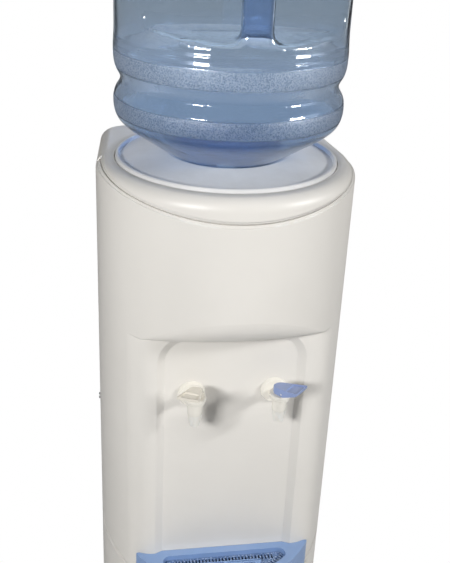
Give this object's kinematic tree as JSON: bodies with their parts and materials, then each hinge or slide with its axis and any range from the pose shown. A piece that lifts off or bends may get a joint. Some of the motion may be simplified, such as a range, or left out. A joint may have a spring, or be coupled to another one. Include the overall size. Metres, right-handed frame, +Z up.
{
  "type": "water cooler",
  "caption": "Free-standing column water cooler with an inverted refillable bottle, lift-out bottle guard, two lever taps over an alcove, pull-out drip tray and a rear condenser.",
  "frame": {"origin": "on the floor under the axis of the column, midway between the front of the drip tray and the back of the condenser", "axes": "+Z up, -Y to the front with the taps and tray, +X to the right as seen from the front"},
  "size_m": [0.3126, 0.344, 1.385],
  "materials": {
    "column_plastic": "satin white moulding",
    "guard_plastic": "white moulding",
    "steel_sheet": "grey powder coat",
    "bottle_plastic": "blue tinted clear plastic",
    "cap_plastic": "soft white",
    "tray_plastic": "pale blue",
    "tap_plastic": "white",
    "spout_plastic": "translucent white",
    "room_lever_plastic": "cream white",
    "cold_lever_plastic": "blue",
    "stainless": "satin",
    "zinc_steel": "zinc plated",
    "silicone": "milky",
    "black_rubber": "matt",
    "foam": "expanded bead foam",
    "copper": "bright copper",
    "black_enamel": "black enamel",
    "black_plastic": "black"
  },
  "bodies": {
    "guard": {"bottle_guard": "guard_plastic", "feed_spindle": "guard_plastic", "cap_plug": "cap_plastic"},
    "bottle": {"bottle": "bottle_plastic", "bottle_cap": "cap_plastic"},
    "tray": {"drip_tray": "tray_plastic"},
    "grille": {"drip_grille": "tray_plastic"},
    "thermostat_knob": {"thermostat_knob": "black_plastic"},
    "left_bonnet": {"left_tap_bonnet": "tap_plastic"},
    "left_lever": {"left_tap_lever": "room_lever_plastic", "left_lever_pin": "tap_plastic"},
    "left_stem": {"left_valve_stem": "tap_plastic", "left_seat_cup": "silicone"},
    "right_bonnet": {"right_tap_bonnet": "tap_plastic"},
    "right_lever": {"right_tap_lever": "cold_lever_plastic", "right_lever_pin": "tap_plastic"},
    "right_stem": {"right_valve_stem": "tap_plastic", "right_seat_cup": "silicone"},
    "cabinet": {"base_plate": "zinc_steel", "base_shell": "column_plastic", "capillary_line": "copper", "compressor": "black_enamel", "compressor_mounts": "black_rubber", "condenser_brackets": "zinc_steel", "condenser_tube": "black_enamel", "condenser_wires": "black_enamel", "cord_gland": "black_plastic", "discharge_line": "copper", "evaporator_coil": "copper", "feet": "black_rubber", "filter_drier": "copper", "foam_front": "foam", "foam_rear": "foam", "foot_screws": "zinc_steel", "front_shell": "column_plastic", "left_hose": "silicone", "left_tap_body": "tap_plastic", "left_tap_spout": "spout_plastic", "left_valve_spring": "zinc_steel", "liquid_line": "copper", "mount_bolts": "zinc_steel", "rear_cabinet": "steel_sheet", "rear_screws": "zinc_steel", "relay_cover": "black_plastic", "right_hose": "silicone", "right_tap_body": "tap_plastic", "right_tap_spout": "spout_plastic", "right_valve_spring": "zinc_steel", "riser_tube": "guard_plastic", "side_screws": "zinc_steel", "suction_line": "copper", "tank_baffle": "guard_plastic", "tank_seal": "silicone", "tank_shelf": "zinc_steel", "tap_nuts": "tap_plastic", "tap_washers": "silicone", "thermostat": "black_plastic", "top_cover": "column_plastic", "water_tank": "stainless"}
  },
  "joints": [
    {"name": "guard_lift", "type": "slide", "parent": "cabinet", "child": "guard", "axis": [0, 0, 1], "range_m": [0, 0.12]},
    {"name": "bottle_lift", "type": "slide", "parent": "guard", "child": "bottle", "axis": [0, 0, 1], "range_m": [0, 0.12]},
    {"name": "tray_pull", "type": "slide", "parent": "cabinet", "child": "tray", "axis": [0, -1, 0], "range_m": [0, 0.09]},
    {"name": "grille_lift", "type": "slide", "parent": "tray", "child": "grille", "axis": [0, 0, 1], "range_m": [0, 0.06]},
    {"name": "thermostat_turn", "type": "hinge", "parent": "cabinet", "child": "thermostat_knob", "pos_m": [0.075, 0.15, 0.69], "axis": [0, 1, 0], "range_deg": [0, 270]},
    {"name": "left_tap_swivel", "type": "hinge", "parent": "cabinet", "child": "left_bonnet", "pos_m": [-0.048, -0.136, 0.72], "axis": [0, 0, 1], "range_deg": [-75, 125]},
    {"name": "left_stem_lift", "type": "slide", "parent": "left_bonnet", "child": "left_stem", "axis": [0, 0, 1], "range_m": [0, 0.00136], "stiffness_N_per_m": 30, "springref_m": -0.002, "deforming": ["left_valve_spring"]},
    {"name": "left_tap_press", "type": "hinge", "parent": "left_bonnet", "child": "left_lever", "pos_m": [-0.05075, -0.14189, 0.73], "axis": [0.9063, -0.4226, 0], "range_deg": [0, 12]},
    {"name": "right_tap_swivel", "type": "hinge", "parent": "cabinet", "child": "right_bonnet", "pos_m": [0.054, -0.136, 0.72], "axis": [0, 0, 1], "range_deg": [-145, 55]},
    {"name": "right_stem_lift", "type": "slide", "parent": "right_bonnet", "child": "right_stem", "axis": [0, 0, 1], "range_m": [0, 0.00136], "stiffness_N_per_m": 30, "springref_m": -0.002, "deforming": ["right_valve_spring"]},
    {"name": "right_tap_press", "type": "hinge", "parent": "right_bonnet", "child": "right_lever", "pos_m": [0.0586, -0.1406, 0.73], "axis": [0.7071, 0.7071, 0], "range_deg": [0, 12]}
  ],
  "couplings": [
    {"joint": "left_tap_press", "follows": "left_stem_lift", "rad_per_m": 153.85},
    {"joint": "right_tap_press", "follows": "right_stem_lift", "rad_per_m": 153.85}
  ]
}
